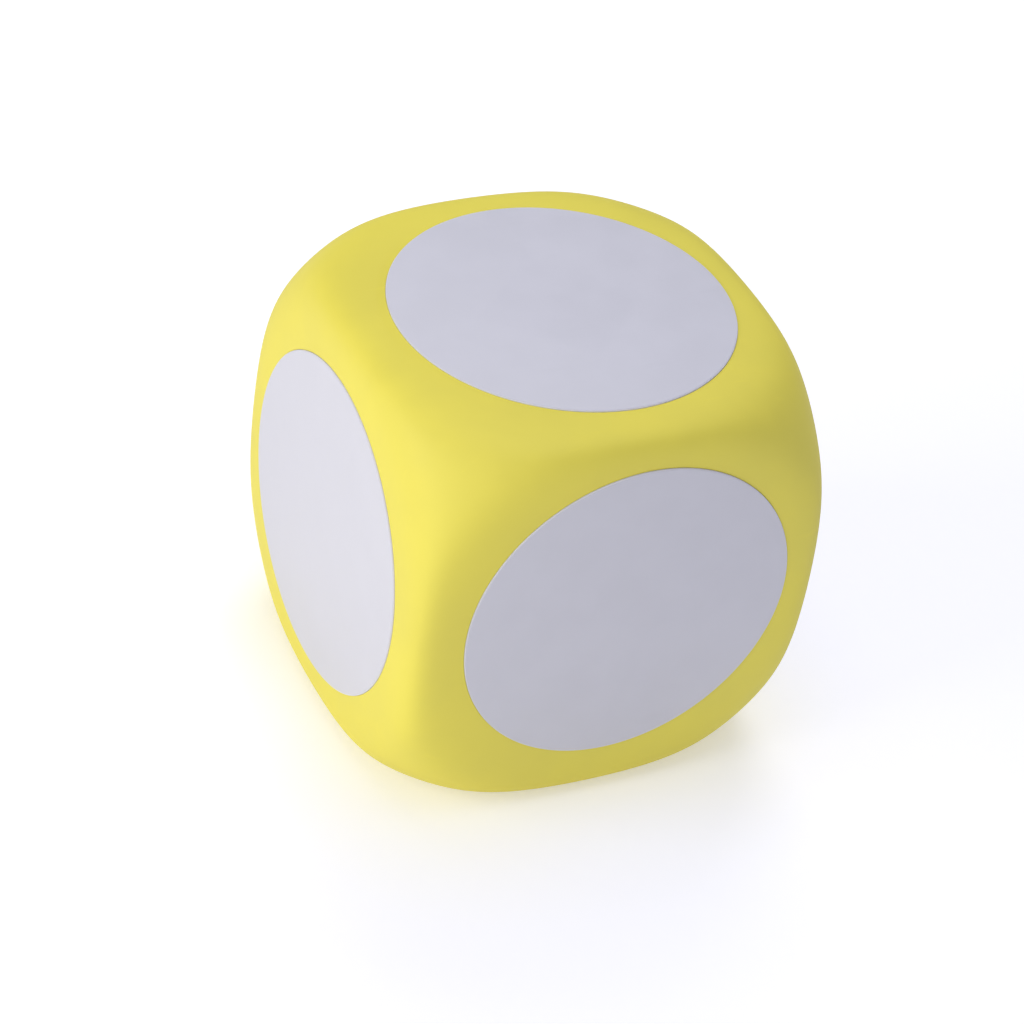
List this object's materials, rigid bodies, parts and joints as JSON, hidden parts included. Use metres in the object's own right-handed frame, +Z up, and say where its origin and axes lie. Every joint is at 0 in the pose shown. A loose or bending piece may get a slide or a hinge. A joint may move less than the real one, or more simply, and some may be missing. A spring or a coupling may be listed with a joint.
{
  "type": "giant yard dice",
  "caption": "Large soft-foam yard die with ball-rounded corners, a smooth yellow skin and a blank round write-on disc bonded to each side.",
  "frame": {"origin": "middle of the die's underside, in the plane of the bottom disc's writing film", "axes": "+Z up through the top disc; -Y out of the front disc; -X out of the left disc"},
  "size_m": [0.3, 0.3, 0.3],
  "materials": {
    "core_foam": "matte",
    "yellow_skin": "satin",
    "bonding_adhesive": "satin",
    "white_disc": "satin",
    "writing_film": "satin"
  },
  "bodies": {
    "root": {"foam_core": "core_foam", "outer_skin": "yellow_skin", "adhesive_top": "bonding_adhesive", "adhesive_bottom": "bonding_adhesive", "adhesive_front": "bonding_adhesive", "adhesive_back": "bonding_adhesive", "adhesive_left": "bonding_adhesive", "adhesive_right": "bonding_adhesive", "disc_top": "white_disc", "disc_bottom": "white_disc", "disc_front": "white_disc", "disc_back": "white_disc", "disc_left": "white_disc", "disc_right": "white_disc", "film_top": "writing_film", "film_bottom": "writing_film", "film_front": "writing_film", "film_back": "writing_film", "film_left": "writing_film", "film_right": "writing_film"}
  },
  "joints": []
}
